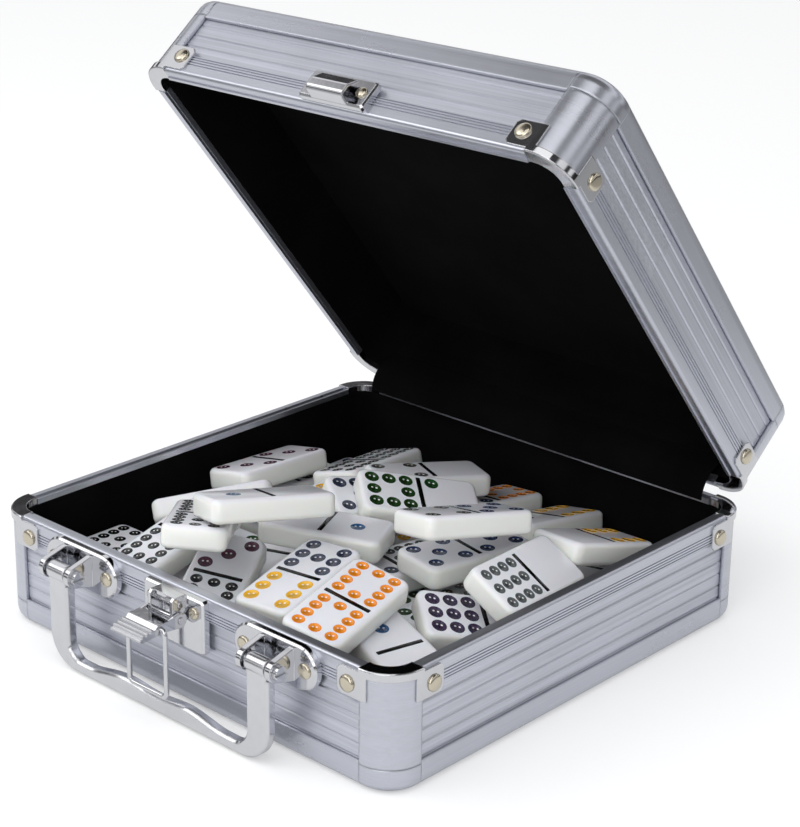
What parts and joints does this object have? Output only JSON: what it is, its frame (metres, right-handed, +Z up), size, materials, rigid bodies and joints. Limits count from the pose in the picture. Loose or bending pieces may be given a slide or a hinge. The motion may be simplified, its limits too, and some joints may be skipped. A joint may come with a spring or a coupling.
{
  "type": "domino set in a carry case",
  "caption": "Square aluminium-framed carry case, lid open on rear hinges, with a fold-down handle, draw latch and a heap of loose double-twelve dominoes inside",
  "frame": {"origin": "Centre of the base of the case in plan, at the height of the surface that it stands on", "axes": "+Z up, +X to the right seen from the front, where the handle and latch are, +Y towards the rear hinges"},
  "size_m": [0.2206, 0.2684, 0.238],
  "materials": {
    "satin_aluminium": "satin anodised extrusion",
    "ribbed_aluminium": "ribbed sheet with a soft sheen",
    "aluminium_sheet": "fine grained flat sheet",
    "hardware_chrome": "polished plating",
    "rivet_nickel": "warm nickel plate, domed heads",
    "black_lining": "matt black short pile",
    "domino_resin": "glossy white resin with painted pips"
  },
  "bodies": {
    "case_base": {"base_bottom_panel": "aluminium_sheet", "base_clip_rivets": "rivet_nickel", "base_corner_caps": "satin_aluminium", "base_corner_posts": "satin_aluminium", "base_edge_rails": "satin_aluminium", "base_front_panel": "ribbed_aluminium", "base_lining": "black_lining", "base_rear_panel": "ribbed_aluminium", "base_rim_clips": "hardware_chrome", "base_rim_rails": "satin_aluminium", "base_side_panels": "ribbed_aluminium", "domino_first_layer": "domino_resin", "domino_heap_front": "domino_resin", "domino_heap_rear": "domino_resin", "domino_second_layer": "domino_resin", "handle_bracket_rivets": "rivet_nickel", "handle_brackets": "hardware_chrome", "handle_pins": "hardware_chrome", "hinge_base_leaves": "hardware_chrome", "hinge_base_rivets": "rivet_nickel", "hinge_pins": "hardware_chrome", "latch_pins": "hardware_chrome", "latch_plate": "hardware_chrome", "latch_rivets": "rivet_nickel"},
    "lid": {"hinge_flap": "black_lining", "hinge_lid_leaves": "hardware_chrome", "hinge_lid_rivets": "rivet_nickel", "lid_catch": "hardware_chrome", "lid_catch_rivets": "rivet_nickel", "lid_clip_rivets": "rivet_nickel", "lid_corner_caps": "satin_aluminium", "lid_corner_posts": "satin_aluminium", "lid_edge_rails": "satin_aluminium", "lid_front_panel": "ribbed_aluminium", "lid_lining": "black_lining", "lid_rear_panel": "ribbed_aluminium", "lid_rim_clips": "hardware_chrome", "lid_rim_rails": "satin_aluminium", "lid_side_panels": "ribbed_aluminium", "lid_top_panel": "aluminium_sheet"},
    "handle": {"handle": "hardware_chrome"},
    "latch_lever": {"latch_lever": "hardware_chrome"},
    "latch_bail": {"latch_bail": "hardware_chrome"}
  },
  "joints": [
    {"name": "lid_hinge", "type": "hinge", "parent": "case_base", "child": "lid", "pos_m": [0, 0.1084, 0.04815], "axis": [-1, 0, 0], "range_deg": [-51, 44]},
    {"name": "handle_hinge", "type": "hinge", "parent": "case_base", "child": "handle", "pos_m": [0, -0.117, 0.0395], "axis": [-1, 0, 0], "range_deg": [0, 95]},
    {"name": "latch_lever_hinge", "type": "hinge", "parent": "case_base", "child": "latch_lever", "pos_m": [0, -0.1125, 0.0387], "axis": [1, 0, 0], "range_deg": [0, 80]},
    {"name": "latch_bail_hinge", "type": "hinge", "parent": "latch_lever", "child": "latch_bail", "pos_m": [0, -0.122, 0.0385], "axis": [-1, 0, 0], "range_deg": [0, 245]}
  ],
  "couplings": [
    {"joint": "latch_bail_hinge", "follows": "latch_lever_hinge", "ratio": 3.0625}
  ]
}
